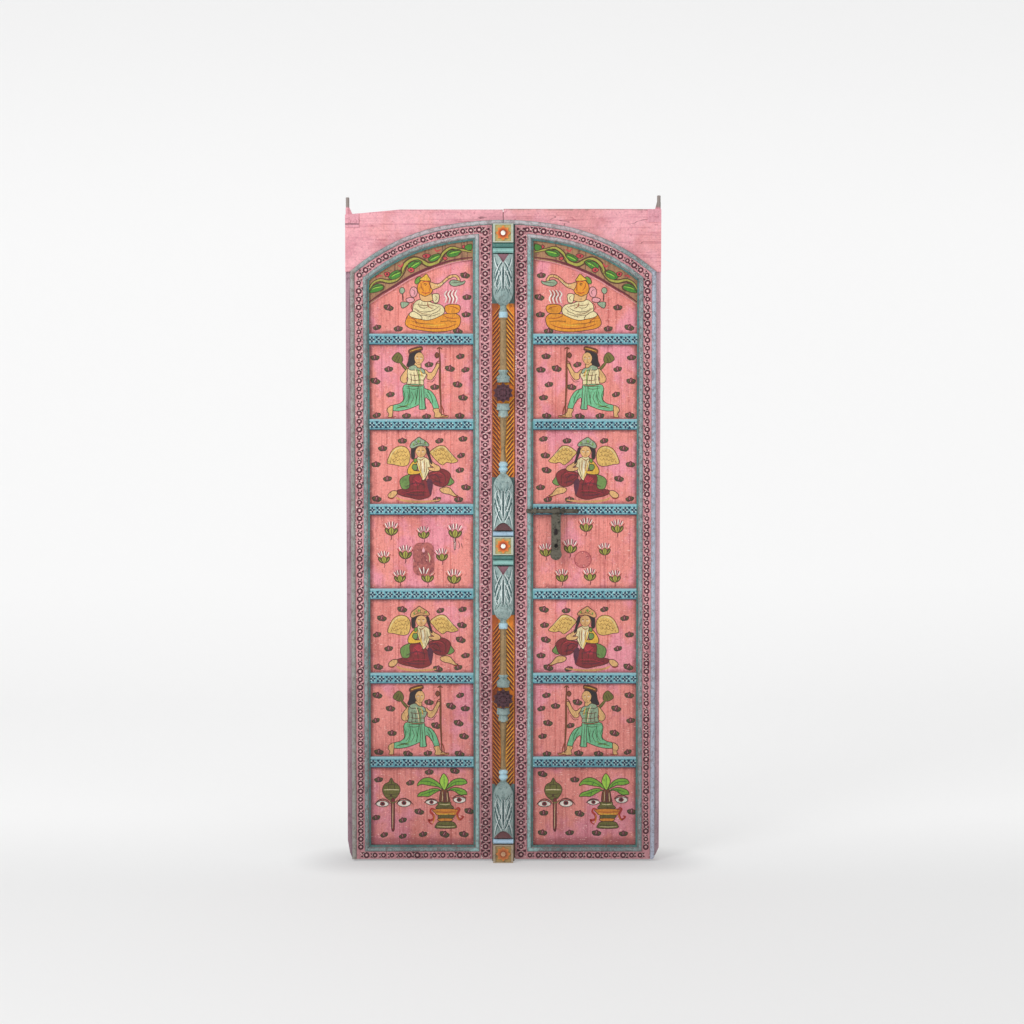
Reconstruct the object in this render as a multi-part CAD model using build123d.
from build123d import *
import os
from collections import namedtuple
from math import asin, cos, degrees, sin, sqrt

# A closed pair of old plank door leaves, hung on forged pivots, with a raised arched frame on
# each leaf, cross rails between painted panels, a carved astragal over the seam and a slide latch.
# Millimetres. X runs across the door, Y from the viewer to the back, Z up.
# The origin is at the bottom centre of the whole pair.
# Each leaf is drawn on the right of the seam, and the left one is mirrored. Depths are measured
# towards the viewer from the planks' front face, so anything behind that face is negative.

os.makedirs("parts", exist_ok=True)

# Leaves and planks
leaf_width = 491.0
meeting_gap = 2.0
leaf_height = 2041.0
plank_thickness = 30.0
plank_count = 3
plank_chamfer = 1.5
left_top_loss = 2.0
edge_margin = 15.0

# Worn corners: the top outer corner slopes down, the bottom outer corner is rounded away
left_corner_loss = 16.0
right_corner_loss = 1.0
corner_slope_run = 172.0
left_wear_run = 14.0
left_wear_rise = 57.0
right_wear_run = 22.0
right_wear_rise = 34.0

# Raised moulded frame
outer_bead = 14.0
band_width = 26.0
inner_bead = 19.0
bead_round = 12.0
bead_proud = 20.0
band_proud = 14.0
saw_over = 1.0
meeting_band = 40.0
bottom_band = 24.0

# Arch of the frame, drawn on the outer edge of the outer bead
head_at_peak = 35.0
crown_radius = 1000.0
crown_half_width = 180.0
haunch_radius = 622.0
vine_width = 57.0
vine_proud = 5.0
head_proud = 8.0

# Cross rails
rail_count = 6
rail_height = 34.0
rail_proud = 11.0
first_rail = 307.0
last_rail_drop = 404.0
rail_chamfer = 2.0

# Ledges on the back
ledge_count = 4
ledge_height = 90.0
ledge_thickness = 22.0
first_ledge = 174.0
last_ledge_drop = 148.0
ledge_inset = 28.0
ledge_chamfer = 5.0
nails_per_ledge = 3
nail_radius = 6.0
nail_rise = 2.5

# Cover strip on the back of the right leaf, lapping over the meeting gap
cover_width = 40.0
cover_thickness = 8.0
cover_end = 4.0

# Forged pivots at the top outer corners
strap_width = 43.0
strap_height = 40.0
strap_iron = 3.0
strap_top_iron = 4.0
pin_radius = 6.0
journal_radius = 5.5
journal_chamfer = 1.5
left_pin_height = 56.0
right_pin_height = 45.0
left_gusset_width = 21.0
right_gusset_width = 17.0
gusset_height = 24.0
gusset_iron = 9.0

# Astragal: a board over the seam with its carving
astragal_width = 70.0
astragal_drop = 6.0
board_depth = 18.0
side_clearance = 2.5
back_clearance = 0.3
block_depth = 46.0
block_half_width = 31.5
block_heights = (57.0, 56.0, 58.0)
middle_block_drop = 28.5
block_border = 7.0
block_sink = 4.0
rosette_radius = 25.0
rosette_margin = 1.0
bar_depth = 43.0
bar_height = 15.0
bar_gap = 2.0
foot_gap = 4.0
urn_half_width = 31.0
urn_flank = 38.0
urn_depth = 50.0
urn_shoulder = 40.0
lower_urn_length = 175.0
upper_urn_lengths = (169.0, 157.0)
neck_radius = 10.0
neck_lengths = (6.0, 12.0)
bead_radius = 14.0
small_bead = 15.0
large_beads = (27.0, 34.0)
shaft_radius = 7.0
shaft_end_radius = 11.0
collar_radius = 21.0
collar_length = 43.0
groove_width = 5.0
groove_depth = 3.0
leaf_rows = 4
chevron_rows = 5
chevron_length = 44.0
chevron_lean = 22.0

# Lotus bosses on the astragal
boss_radius = 32.0
boss_stem_radius = 18.0
boss_proud = 75.0
boss_seat = 33.0
lower_boss_shift = 6.5
upper_boss_shift = -8.0
boss_cup_rise = 4.0
boss_cup_sink = 6.0
petal_root = 6.0

# Slide latch on the right leaf
rod_radius = 6.5
rod_tip = 72.0
rod_length = 164.0
rod_clear_of_bead = 2.0
rod_below_rail = 4.0
rod_clearance = 0.05
shoulder_radius = 9.0
shoulder_width = 3.0
hasp_centre = 165.0
eye_width = 20.0
eye_radius = 10.5
hasp_width = 30.0
hasp_iron = 5.0
hasp_length = 154.0
hasp_end_width = 36.0
hasp_slot_width = 10.7
hasp_slot_height = 21.0
hasp_slot_drop = 65.0
hasp_boss_radius = 9.0
hasp_boss_drop = 112.0
hasp_boss_rise = 7.0
staple_iron = 3.5
inner_staple = 99.0
outer_staple = 186.0
inner_staple_width = 6.0
outer_staple_width = 6.0
latch_rail_count = 4
keep_size = 17.0
keep_depth = 14.0

# Painted-over patches
patch_proud = 3.0
lock_patch_width = 65.0
lock_patch_height = 103.0
lock_patch_from_seam = 250.5
lock_patch_drop = 23.5
disc_radius = 27.0
disc_from_seam = 250.0
disc_drop = 25.0

# Places worked out from the sizes
leaf_bottom = astragal_drop
leaf_top = leaf_bottom + leaf_height
inner_edge = meeting_gap / 2
outer_edge = inner_edge + leaf_width
frame_outer = outer_edge - edge_margin
frame_width = outer_bead + band_width + inner_bead
panel_outer = frame_outer - frame_width
panel_inner = astragal_width / 2 + meeting_band + inner_bead
panel_bottom = leaf_bottom + bottom_band + inner_bead
arch_peak = leaf_top - head_at_peak
crown_angle = asin(crown_half_width / crown_radius)
crown_z = arch_peak - crown_radius
haunch_u = (crown_radius - haunch_radius) * sin(crown_angle)
haunch_z = crown_z + (crown_radius - haunch_radius) * cos(crown_angle)
astragal_top = arch_peak - outer_bead
back_depth = plank_thickness + ledge_thickness + nail_rise
face_y = (boss_proud - back_depth) / 2
rail_pitch = (leaf_height - first_rail - last_rail_drop) / (rail_count - 1)
ledge_pitch = (leaf_height - first_ledge - last_ledge_drop) / (ledge_count - 1)
rail_heights = [leaf_bottom + first_rail + rail_pitch * row for row in range(rail_count)]
ledge_heights = [leaf_bottom + first_ledge + ledge_pitch * row for row in range(ledge_count)]
rod_z = rail_heights[latch_rail_count - 1] - rod_below_rail
latch_panel = rail_heights[latch_rail_count - 1] - rail_pitch / 2
middle_block = leaf_bottom + leaf_height / 2 - middle_block_drop
rod_depth = bead_proud + rod_clear_of_bead + rod_radius
block_centres = (block_heights[0] / 2, middle_block, astragal_top - block_heights[2] / 2)
run_ends = [
    (block_centres[row] + block_heights[row] / 2, block_centres[row + 1] - block_heights[row + 1] / 2)
    for row in range(2)
]
boss_heights = [
    (low + high) / 2 + shift
    for (low, high), shift in zip(run_ends, (lower_boss_shift, upper_boss_shift))
]

Leaf = namedtuple(
    "Leaf", "name side top loss wear_run wear_rise clearance pin_height gusset_width"
)
leaves = (
    Leaf("left", -1, leaf_top - left_top_loss, left_corner_loss, left_wear_run,
         left_wear_rise, 0.0, left_pin_height, left_gusset_width),
    Leaf("right", 1, leaf_top, right_corner_loss, right_wear_run,
         right_wear_rise, side_clearance, right_pin_height, right_gusset_width),
)


# Drawing in the plane of the leaf

def slab(face, low, high):
    """The solid with this front outline, between two depths."""
    return extrude(Plane.XZ.offset(low - face_y) * face, amount=high - low)


def outline(*points):
    return make_face(Polyline(*points, close=True))


def upright(left, right, bottom, top):
    return Pos((left + right) / 2, (bottom + top) / 2) * Rectangle(right - left, top - bottom)


def arch_height(inset, u):
    """Height of the arch at a distance u from the seam, on a line inset from its outer edge."""
    if u <= (crown_radius - inset) * sin(crown_angle):
        return crown_z + sqrt((crown_radius - inset) ** 2 - u ** 2)
    return haunch_z + sqrt((haunch_radius - inset) ** 2 - (u - haunch_u) ** 2)


def under_arch(inset, left, right, floor):
    """The face below an inset line of the arch, between two distances from the seam."""
    joint = (crown_radius - inset) * sin(crown_angle)
    stops = [left, joint, right] if left < joint < right else [left, right]
    edges = []
    for start, end in zip(stops, stops[1:]):
        places = [(u, arch_height(inset, u)) for u in (start, (start + end) / 2, end)]
        edges.append(ThreePointArc(*places))
    edges += Polyline(
        (left, arch_height(inset, left)), (left, floor), (right, floor),
        (right, arch_height(inset, right)),
    ).edges()
    return make_face(edges)


def leaf_outline(leaf):
    """Front outline of one leaf, with its worn corners."""
    worn_u = outer_edge - leaf.wear_run / 2
    worn_z = leaf_bottom + leaf.wear_rise * 0.3
    return outline(
        (inner_edge, leaf_bottom),
        (outer_edge - leaf.wear_run, leaf_bottom),
        (worn_u, worn_z),
        (outer_edge, leaf_bottom + leaf.wear_rise),
        (outer_edge, leaf.top - leaf.loss),
        (outer_edge - corner_slope_run, leaf.top),
        (inner_edge, leaf.top),
    )


# Planks, head board, vine board and ledges

def plank(leaf, number):
    """One full-height plank: its long edges are chamfered where it meets the next one."""
    width = leaf_width / plank_count
    left = inner_edge + width * number
    right = left + width
    section = Pos((left + right) / 2, face_y + plank_thickness / 2) * Rectangle(
        width, plank_thickness
    )
    joints = [corner for corner in section.vertices() if inner_edge + 1 < corner.X < outer_edge - 1]
    section = chamfer(joints, plank_chamfer)
    board = extrude(section, amount=leaf.top)
    return board & slab(leaf_outline(leaf), -plank_thickness, 0)


def head_board(leaf):
    spring = arch_height(0, frame_outer)
    above = leaf_outline(leaf) & upright(inner_edge, outer_edge, spring, leaf.top)
    return slab(above - under_arch(0, 0, frame_outer, leaf_bottom), 0, head_proud)


def vine_board():
    inset = frame_width
    floor = arch_height(inset + vine_width, panel_outer) - vine_width
    strip = under_arch(inset, panel_inner, panel_outer, floor)
    strip -= under_arch(inset + vine_width, panel_inner, panel_outer, floor)
    return slab(strip, 0, vine_proud)


def back_ledge(height):
    front = upright(
        inner_edge + ledge_inset, outer_edge - ledge_inset,
        height - ledge_height / 2, height + ledge_height / 2,
    )
    board = slab(front, -plank_thickness - ledge_thickness, -plank_thickness)
    return chamfer(board.faces().sort_by(Axis.Y)[-1].edges(), ledge_chamfer)


def meeting_strip(leaf):
    """The strip that closes the meeting gap from behind: fixed to the right leaf alone."""
    half = cover_width / 2
    low, high = leaf_bottom + cover_end, leaf.top - left_top_loss - cover_end
    strip = slab(upright(-half, half, low, high), -plank_thickness - cover_thickness, -plank_thickness)
    free_side = upright(-half, 0, low, high)
    return strip - slab(free_side, -plank_thickness - back_clearance, -plank_thickness)


def cross_rail(height):
    front = upright(panel_inner, panel_outer, height - rail_height / 2, height + rail_height / 2)
    bar = slab(front, 0, rail_proud)
    long_edges = bar.faces().sort_by(Axis.Y)[0].edges().filter_by(Axis.X)
    return chamfer(long_edges, rail_chamfer)


# Raised moulded frame

def saw(face):
    """The space behind and in front of an outline, past the frame's moulding on both sides."""
    return slab(face, -saw_over, bead_proud + saw_over)


def moulding(with_outer_bead):
    """Section of the frame: x runs in from its outer edge, y towards the viewer."""
    bead_start = frame_width - inner_bead if with_outer_bead else meeting_band
    bead_end = bead_start + bead_round
    width = bead_start + inner_bead
    edges = []
    if with_outer_bead:
        edges.append(Line((0, 0), (0, band_proud)))
        edges.append(
            ThreePointArc((0, band_proud), (outer_bead / 2, bead_proud), (outer_bead, band_proud))
        )
        edges.append(Line((outer_bead, band_proud), (bead_start, band_proud)))
    else:
        edges += Polyline((0, 0), (0, band_proud), (bead_start, band_proud)).edges()
    edges.append(
        ThreePointArc(
            (bead_start, band_proud), (bead_start + bead_round / 2, bead_proud),
            (bead_end, band_proud),
        )
    )
    edges += Polyline((bead_end, band_proud), (width, rail_proud), (width, 0), (0, 0)).edges()
    return make_face(edges)


def bottom_rail_outline():
    """Front outline of the bottom rail: its bead is mitred into the stiles' beads."""
    bead_low = leaf_bottom + bottom_band
    return outline(
        (panel_inner - inner_bead, leaf_bottom),
        (panel_outer + inner_bead, leaf_bottom),
        (panel_outer + inner_bead, bead_low),
        (panel_outer, panel_bottom),
        (panel_inner, panel_bottom),
        (panel_inner - inner_bead, bead_low),
    )


def bottom_rail():
    width = meeting_band + inner_bead
    section = Plane(
        (inner_edge, face_y, panel_bottom - width), x_dir=(0, 0, 1), z_dir=(1, 0, 0)
    ) * moulding(False)
    return extrude(section, amount=leaf_width) & saw(bottom_rail_outline())


def hanging_stile(leaf):
    """The stile on the pivot side: mitred to the arch at its top."""
    section = Plane(
        (frame_outer, face_y, leaf_bottom), x_dir=(-1, 0, 0), z_dir=(0, 0, 1)
    ) * moulding(True)
    front = outline(
        (panel_outer, leaf_bottom),
        (frame_outer, leaf_bottom),
        (frame_outer, arch_height(0, frame_outer)),
        (panel_outer, arch_height(frame_width, panel_outer)),
    )
    front = (front & leaf_outline(leaf)) - bottom_rail_outline()
    return extrude(section, amount=leaf_height) & saw(front)


def meeting_stile_outline(start):
    """Front outline of the stile beside the astragal: its bead is mitred into the arch."""
    bead_start = panel_inner - inner_bead - saw_over
    band_line = frame_width - inner_bead - saw_over
    return outline(
        (start, leaf_bottom),
        (panel_inner, leaf_bottom),
        (panel_inner, arch_height(frame_width, panel_inner)),
        (bead_start, arch_height(band_line, bead_start)),
        (start, arch_height(band_line, start)),
    )


def meeting_stile(leaf):
    start = astragal_width / 2 + leaf.clearance
    section = Plane(
        (astragal_width / 2, face_y, leaf_bottom), x_dir=(1, 0, 0), z_dir=(0, 0, -1)
    ) * moulding(False)
    front = meeting_stile_outline(start) - bottom_rail_outline()
    return extrude(section, amount=-leaf_height) & saw(front)


def arch_rail(leaf):
    """The curved head of the frame, turned about the centres of its crown and its haunch."""
    crown_axis = Axis((0, face_y, crown_z), (0, 1, 0))
    haunch_axis = Axis((haunch_u, face_y, haunch_z), (0, 1, 0))
    section = Plane((0, face_y, arch_peak), x_dir=(0, 0, -1), z_dir=(-1, 0, 0)) * moulding(True)
    crown_turn = degrees(crown_angle)
    haunch_turn = degrees(asin((frame_outer - haunch_u) / haunch_radius)) - crown_turn
    rail = revolve(section, crown_axis, crown_turn)
    rail += revolve(section.rotate(crown_axis, crown_turn), haunch_axis, haunch_turn + 1)
    high = arch_height(0, frame_outer)
    low = arch_height(frame_width, panel_outer)
    slope = (high - low) / frame_width
    past_mitre = outline(
        (panel_outer - outer_bead, low - outer_bead * slope),
        (frame_outer + outer_bead, high + outer_bead * slope),
        (frame_outer + outer_bead, low - frame_width),
        (panel_outer - outer_bead, low - frame_width),
    )
    astragal_side = astragal_width / 2 + leaf.clearance
    astragal_end = astragal_top + (back_clearance if leaf.clearance else 0)
    past_seam = upright(-inner_edge, inner_edge, crown_z, arch_peak + outer_bead)
    past_seam += upright(-inner_edge, astragal_side, crown_z, astragal_end)
    cutters = past_mitre + past_seam + meeting_stile_outline(astragal_side)
    return rail - saw(cutters)


# Forged pivots and nails

def pivot_strap(leaf):
    """Iron shoe over the top outer corner, with the pin and its gusset forged in one with it."""
    corner = leaf.top - leaf.loss
    corner_area = upright(
        outer_edge - strap_width, outer_edge, corner - strap_height, leaf.top + strap_top_iron
    )
    whole = leaf_outline(leaf) & corner_area
    wood = Pos(-strap_iron, -strap_top_iron) * whole
    shoe = slab(whole, -plank_thickness - strap_iron, head_proud + strap_iron)
    shoe -= slab(wood, -plank_thickness, head_proud)
    pin_u = outer_edge - pin_radius
    top = corner + leaf.pin_height
    foot = corner - strap_top_iron / 2
    shank_top = corner + gusset_height
    upright_up = (Align.CENTER, Align.CENTER, Align.MIN)
    journal = Cylinder(journal_radius, top - shank_top, align=upright_up)
    journal = chamfer(journal.edges().sort_by(Axis.Z)[-1], journal_chamfer)
    pin = Pos(pin_u, face_y + plank_thickness / 2, foot) * (
        Cylinder(pin_radius, shank_top - foot, align=upright_up)
        + Pos(0, 0, shank_top - foot) * journal
    )
    gusset = outline(
        (outer_edge - leaf.gusset_width, foot),
        (pin_u, foot),
        (pin_u, shank_top),
        (pin_u - pin_radius, shank_top),
        (outer_edge - leaf.gusset_width, corner + strap_top_iron),
    )
    middle = -plank_thickness / 2
    pin += slab(gusset, middle - gusset_iron / 2, middle + gusset_iron / 2)
    inside = slab(wood, -plank_thickness, head_proud)
    return shoe + (pin - inside)


def nail_heads(leaf):
    """Rose-headed nails, in the strap at the front and in the ledges at the back."""
    head = RegularPolygon(nail_radius, 8)
    corner = leaf.top - leaf.loss
    heads = []
    for share in (0.3, 0.75):
        place = Plane.XZ.offset(head_proud + strap_iron - face_y) * Pos(
            outer_edge - strap_width * share, corner - strap_height / 2
        )
        heads.append(extrude(place * head, amount=nail_rise, taper=35))
    ledge_back = Plane.XZ.offset(-plank_thickness - ledge_thickness - face_y)
    plank_width = leaf_width / plank_count
    for height in ledge_heights:
        for number in range(nails_per_ledge):
            up = ledge_height / 4 * (1 if number % 2 else -1)
            place = ledge_back * Pos(inner_edge + plank_width * (number + 0.5), height + up)
            heads.append(extrude(place * head, amount=-nail_rise, taper=35))
    return Compound(heads)


# Carved astragal

def turned(*points):
    """Half-round carving on the board's face, from (radius, height) points up its side."""
    axis_y = face_y - board_depth + 1
    side = [(0, points[0][1])] + list(points) + [(0, points[-1][1])]
    face = Plane.XZ.offset(-axis_y) * outline(*side)
    return revolve(face, Axis((0, axis_y, 0), (0, 0, -1)), 180)


def bead(height, length):
    """The points of one bead on a turned side."""
    half = length / 2
    return [
        (neck_radius, height - half + 0.5), (bead_radius, height - half / 2),
        (bead_radius, height + half / 2), (neck_radius, height + half - 0.5),
    ]


def petals(count, start, widest, tip, width):
    """A ring of pointed petals in the plane of the leaf."""
    petal = outline(
        (0, start), (width / 2, widest), (0, tip), (-width / 2, widest)
    )
    ring = Rectangle(start, start)
    for number in range(count):
        ring += Rot(0, 0, 360 / count * number) * petal
    return ring


def rosette_block(centre, height):
    half = block_half_width
    block = slab(upright(-half, half, centre - height / 2, centre + height / 2), 0, block_depth)
    inner = half - block_border
    field = upright(-inner, inner, centre - height / 2 + block_border / 2,
                    centre + height / 2 - block_border / 2)
    block -= slab(field, block_depth - block_sink, block_depth)
    radius = min(rosette_radius, inner, height / 2 - block_border / 2) - rosette_margin
    flower = Pos(0, centre) * petals(8, radius * 0.16, radius * 0.65, radius, radius * 0.6)
    hub = Pos(0, centre) * RegularPolygon(radius * 0.32, 10)
    block += slab(flower, block_depth - block_sink, block_depth)
    return block + slab(hub, block_depth - block_sink, block_depth + block_sink / 2)


def bar(low):
    """A rounded bar across the astragal."""
    half = block_half_width
    body = slab(upright(-half, half, low, low + bar_height), 0, bar_depth)
    front = body.faces().sort_by(Axis.Y)[0].edges().filter_by(Axis.X)
    return chamfer(front, bar_height / 3)


def urn(foot, length, way):
    """A leaf-carved urn: wide at its foot, with a shoulder that closes to the neck."""
    shoulder = foot + way * (length - urn_shoulder)
    neck = foot + way * length
    middle = (shoulder + neck) / 2
    wide, narrow = urn_half_width, neck_radius
    bulge = narrow + (wide - narrow) * 0.76
    front = make_face([
        *Polyline((-wide, shoulder), (-wide, foot), (wide, foot), (wide, shoulder)).edges(),
        ThreePointArc((wide, shoulder), (bulge, middle), (narrow, neck)),
        Line((narrow, neck), (-narrow, neck)),
        ThreePointArc((-narrow, neck), (-bulge, middle), (-wide, shoulder)),
    ])
    neck_depth = board_depth + neck_radius
    crest = urn_depth + saw_over
    side_bulge = neck_depth + (crest - neck_depth) * 0.8
    side = make_face([
        *Polyline((neck_depth, neck), (0, neck), (0, foot), (crest, foot),
                  (crest, shoulder)).edges(),
        ThreePointArc((crest, shoulder), (side_bulge, middle), (neck_depth, neck)),
    ])
    side_plane = Plane((0, face_y, 0), x_dir=(0, -1, 0), z_dir=(-1, 0, 0))
    low, high = min(foot, neck), max(foot, neck)
    section = make_face([
        *Polyline((-wide, urn_flank), (-wide, 0), (wide, 0), (wide, urn_flank)).edges(),
        ThreePointArc((wide, urn_flank), (0, urn_depth), (-wide, urn_flank)),
    ])
    section_plane = Plane((0, face_y, low), x_dir=(1, 0, 0), z_dir=(0, 0, -1))
    body = extrude(section_plane * section, amount=low - high)
    body &= slab(front, -saw_over, crest)
    body &= extrude(side_plane * side, amount=wide, both=True)
    return body - urn_grooves(foot, length - urn_shoulder, way)


def groove(length):
    """A V-shaped cut, upright, with its point going into the wood."""
    half = groove_width / 2
    section = outline((-half, -1), (half, -1), (0, groove_depth))
    return extrude(section, amount=length / 2, both=True)


def urn_grooves(foot, body_length, way):
    """Leaf carving: a stem up the middle and rows of veins that lean out from it."""
    rise = urn_depth - urn_flank
    radius = (urn_half_width ** 2 + rise ** 2) / (2 * rise)
    centre_y = face_y - urn_depth + radius
    row_pitch = body_length * 0.8 / leaf_rows
    cuts = []
    for side in (-1, 1):
        stem_up = foot + way * body_length * 0.6
        stem = Rot(0, 0, side * 4) * Pos(0, -radius, 0) * groove(body_length * 0.75)
        cuts.append(Pos(0, centre_y, stem_up) * stem)
        for row in range(leaf_rows):
            up = foot + way * (row_pitch * row + body_length * 0.28)
            for turn, lean in ((14, 32), (27, 24)):
                vein = Rot(0, 0, side * turn) * Pos(0, -radius, 0)
                vein = vein * Rot(0, side * way * lean, 0) * groove(row_pitch * 1.1)
                cuts.append(Pos(0, centre_y, up + way * turn / 3) * vein)
    return cuts


def foot_notch(foot, way, curved):
    """The sunk wedge or crescent at the foot of an urn."""
    half = urn_half_width * 0.6
    tip = foot + way * half * 1.3
    if curved:
        edges = [Line((-half, foot), (half, foot)), ThreePointArc((half, foot), (0, tip), (-half, foot))]
        face = make_face(edges)
    else:
        face = outline((-half, foot), (half, foot), (0, tip))
    return slab(face, urn_depth - groove_depth * 2, urn_depth + saw_over)


def carved_run(low, high, boss, upper_urn_length, neck_length, large_bead):
    """The carving between two rosette blocks, from the lower one's top to the upper one's foot."""
    two_bars = 2 * bar_height + bar_gap
    lower_foot = low + bar_gap + bar_height + foot_gap
    upper_foot = high - two_bars - foot_gap
    lower_neck = lower_foot + lower_urn_length
    upper_neck = upper_foot - upper_urn_length
    first_bead = lower_neck + small_bead
    second_bead = first_bead + small_bead
    upper_bead = upper_neck - neck_length - large_bead / 2
    lower_end = boss - boss_seat
    upper_end = boss + boss_seat
    pieces = [
        bar(low + bar_gap), bar(high - bar_height), bar(high - two_bars),
        urn(lower_foot, lower_urn_length, 1) - foot_notch(lower_foot, 1, True),
        urn(upper_foot, upper_urn_length, -1) - foot_notch(upper_foot, -1, False),
        turned(
            (neck_radius, lower_neck - 1),
            *bead(first_bead, small_bead),
            *bead(second_bead, small_bead),
            (shaft_radius, second_bead + collar_length),
            (shaft_end_radius, lower_end - collar_length - 1),
            (collar_radius * 0.8, lower_end - collar_length),
            (collar_radius * 0.65, lower_end - collar_length / 2),
            (collar_radius, lower_end - collar_length / 2 + 2),
            (collar_radius * 0.9, lower_end),
        ),
        turned(
            (collar_radius * 0.9, upper_end),
            (collar_radius, upper_end + collar_length * 0.4),
            (collar_radius * 0.5, upper_end + collar_length * 0.6),
            (collar_radius * 0.75, upper_end + collar_length * 0.8),
            (shaft_end_radius, upper_end + collar_length),
            *bead(upper_bead, large_bead),
            (neck_radius, upper_neck + 1),
        ),
    ]
    cuts = chevrons(second_bead, lower_end, 1)
    cuts += chevrons(upper_end, upper_bead, -1)
    return pieces, cuts


def chevrons(low, high, way):
    """Leaning cuts in the fields on both sides of the shaft."""
    face = face_y - board_depth
    across = (astragal_width / 2 + shaft_end_radius) / 2
    pitch = (high - low) / (chevron_rows + 1)
    cuts = []
    for row in range(chevron_rows):
        for side in (-1, 1):
            place = Pos(side * across, face, low + pitch * (row + 1))
            cuts.append(place * Rot(0, side * way * chevron_lean, 0) * groove(chevron_length))
    return cuts


def keep_cutter():
    """The mortise in the astragal's right side that the bolt slides into."""
    half = keep_size / 2
    area = upright(urn_half_width - keep_depth, astragal_width / 2 + 1, rod_z - half, rod_z + half)
    return slab(area, rod_depth - half, rod_depth + half)


def astragal():
    """One carved timber, fixed to the left leaf and lapping over the right one."""
    half = astragal_width / 2
    board = slab(upright(-half, half, 0, astragal_top), 0, board_depth)
    pieces = []
    cuts = [keep_cutter(), slab(upright(0, half, 0, astragal_top), 0, back_clearance)]
    for centre, height in zip(block_centres, block_heights):
        pieces.append(rosette_block(centre, height))
    lengths = zip(upper_urn_lengths, neck_lengths, large_beads)
    for (low, high), boss, own_lengths in zip(run_ends, boss_heights, lengths):
        run_pieces, run_cuts = carved_run(low, high, boss, *own_lengths)
        pieces += run_pieces
        cuts += run_cuts
    return (board + pieces) - cuts


def lotus_boss(height):
    """A turned and carved knob: a stem, two rings of petals and a bud."""
    petal_low = boss_proud * 0.62
    petal_high = boss_proud * 0.78
    bud_low = boss_proud * 0.9
    stem = slab(Pos(0, height) * Circle(boss_stem_radius), board_depth, petal_low)
    cup = slab(
        Pos(0, height) * RegularPolygon(boss_radius * 0.8, 16),
        petal_low - boss_cup_sink, petal_low + boss_cup_rise,
    )
    outer = petals(10, petal_root, boss_radius * 0.72, boss_radius, boss_radius * 0.5)
    inner = Rot(0, 0, 18) * petals(
        10, petal_root, boss_radius * 0.5, boss_radius * 0.75, boss_radius * 0.36
    )
    bud = Circle(boss_radius * 0.3)
    knob = slab(Pos(0, height) * bud, petal_low, boss_proud)
    knob = chamfer(knob.faces().sort_by(Axis.Y)[0].edges(), boss_radius * 0.1)
    return (
        stem + cup + slab(Pos(0, height) * outer, petal_low, petal_high)
        + slab(Pos(0, height) * inner, petal_high - 1, bud_low) + knob
    )


# Slide latch

def round_iron(points):
    """A round bar along X, from (place, radius) points."""
    plane = Plane.XZ.offset(rod_depth - face_y)
    start, end = points[0][0], points[-1][0]
    corners = [(start, 0)] + [(place, radius) for place, radius in points] + [(end, 0)]
    face = plane * Pos(0, rod_z) * outline(*corners)
    return revolve(face, Axis((0, face_y - rod_depth, rod_z), (1, 0, 0)), 360)


def bolt_rod():
    """The sliding bar, with two shoulders that hold the hasp's eye."""
    end = rod_tip + rod_length
    eye_left = hasp_centre - eye_width / 2 - rod_clearance
    eye_right = hasp_centre + eye_width / 2 + rod_clearance
    tip = rod_radius / 3
    return round_iron([
        (rod_tip, rod_radius - tip), (rod_tip + tip, rod_radius),
        (eye_left - shoulder_width, rod_radius), (eye_left - shoulder_width, shoulder_radius),
        (eye_left, shoulder_radius), (eye_left, rod_radius),
        (eye_right, rod_radius), (eye_right, shoulder_radius),
        (eye_right + shoulder_width, shoulder_radius), (eye_right + shoulder_width, rod_radius),
        (end - tip, rod_radius), (end, rod_radius - tip),
    ])


def hasp():
    """The hanging plate: an eye round the bar, a slot, a boss and a rounded end."""
    side_plane = Plane((hasp_centre, face_y - rod_depth, rod_z), x_dir=(0, -1, 0), z_dir=(-1, 0, 0))
    bore = rod_radius + rod_clearance
    eye = extrude(side_plane * Circle(eye_radius), amount=eye_width / 2, both=True)
    top = rod_z - shoulder_radius - 2
    low = rod_z - hasp_length
    end_centre = low + hasp_end_width / 2
    neck = upright(-eye_width / 2, eye_width / 2, top - 1, rod_z)
    plate = neck + upright(-hasp_width / 2, hasp_width / 2, end_centre, top)
    plate += Pos(0, end_centre) * Circle(hasp_end_width / 2)
    plate -= Pos(0, rod_z - hasp_slot_drop) * SlotOverall(
        hasp_slot_height, hasp_slot_width, rotation=90
    )
    boss = Pos(hasp_centre, rod_z - hasp_boss_drop) * Circle(hasp_boss_radius)
    back = rod_depth - hasp_iron / 2
    front = rod_depth + hasp_iron / 2
    body = eye + slab(Pos(hasp_centre, 0) * plate, back, front)
    dome = slab(boss, front, front + hasp_boss_rise)
    dome = chamfer(dome.faces().sort_by(Axis.Y)[0].edges(), hasp_boss_rise / 2)
    body += dome
    return body - extrude(side_plane * Circle(bore), amount=eye_width, both=True)


def staple(centre, width):
    """An iron staple, driven into the cross rail, that the bar slides in."""
    side_plane = Plane((centre, face_y, rod_z), x_dir=(0, -1, 0), z_dir=(-1, 0, 0))
    outer = rod_radius + rod_clearance + staple_iron
    bore = rod_radius + rod_clearance
    bow = Pos(rod_depth, 0) * Circle(outer)
    bow += upright(rail_proud, rod_depth, -outer, outer)
    bow -= Pos(rod_depth, 0) * Circle(bore)
    bow -= upright(rail_proud, rod_depth, -bore, bore)
    return extrude(side_plane * bow, amount=width / 2, both=True)


# Painted-over patches

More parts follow.
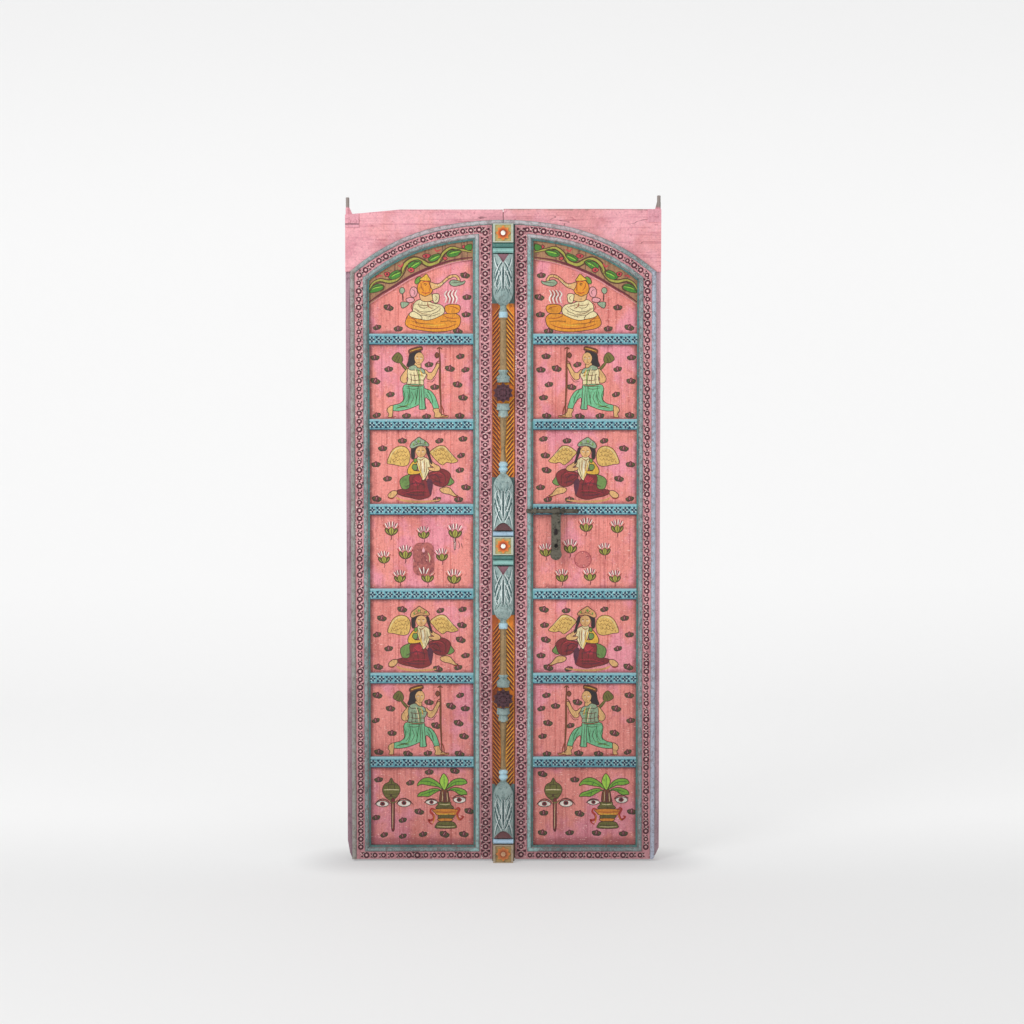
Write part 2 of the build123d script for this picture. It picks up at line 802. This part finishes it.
def lock_patch():
    plate = Pos(lock_patch_from_seam, latch_panel - lock_patch_drop) * RectangleRounded(
        lock_patch_width, lock_patch_height, lock_patch_width / 3
    )
    return slab(plate, 0, patch_proud)


def disc_patch():
    disc = slab(
        Pos(disc_from_seam, latch_panel - disc_drop) * Circle(disc_radius), 0, patch_proud
    )
    return chamfer(disc.faces().sort_by(Axis.Y)[0].edges(), patch_proud / 2)


# Putting the pair together

def leaf_parts(leaf):
    """Every piece of one leaf, drawn to the right of the seam."""
    strap = pivot_strap(leaf)
    parts = {
        "inner_plank": plank(leaf, 0),
        "middle_plank": plank(leaf, 1),
        "outer_plank": plank(leaf, 2) - strap,
        "head_board": head_board(leaf) - strap,
        "vine_board": vine_board(),
        "hanging_stile": hanging_stile(leaf),
        "meeting_stile": meeting_stile(leaf),
        "arch_rail": arch_rail(leaf),
        "bottom_rail": bottom_rail(),
        "pivot_strap": strap,
        "nails": nail_heads(leaf),
    }
    for number, height in enumerate(rail_heights, 1):
        parts[f"cross_rail_{number}"] = cross_rail(height)
    for number, height in enumerate(ledge_heights, 1):
        parts[f"back_ledge_{number}"] = back_ledge(height)
    if leaf.side < 0:
        parts["lock_patch"] = lock_patch()
    else:
        parts["disc_patch"] = disc_patch()
        parts["meeting_strip"] = meeting_strip(leaf)
    return parts


def door():
    """Every node of the pair, by name."""
    nodes = {}
    for leaf in leaves:
        for name, piece in leaf_parts(leaf).items():
            placed = mirror(piece, about=Plane.YZ) if leaf.side < 0 else piece
            nodes[f"{leaf.name}_{name}"] = placed
    lower, upper = boss_heights
    nodes["astragal"] = astragal()
    nodes["lower_lotus_boss"] = lotus_boss(lower)
    nodes["upper_lotus_boss"] = lotus_boss(upper)
    nodes["inner_staple"] = staple(inner_staple, inner_staple_width)
    nodes["outer_staple"] = staple(outer_staple, outer_staple_width)
    nodes["bolt_rod"] = bolt_rod()
    nodes["hasp"] = hasp()
    return nodes


for name, piece in door().items():
    export_step(piece, f"parts/{name}.step")
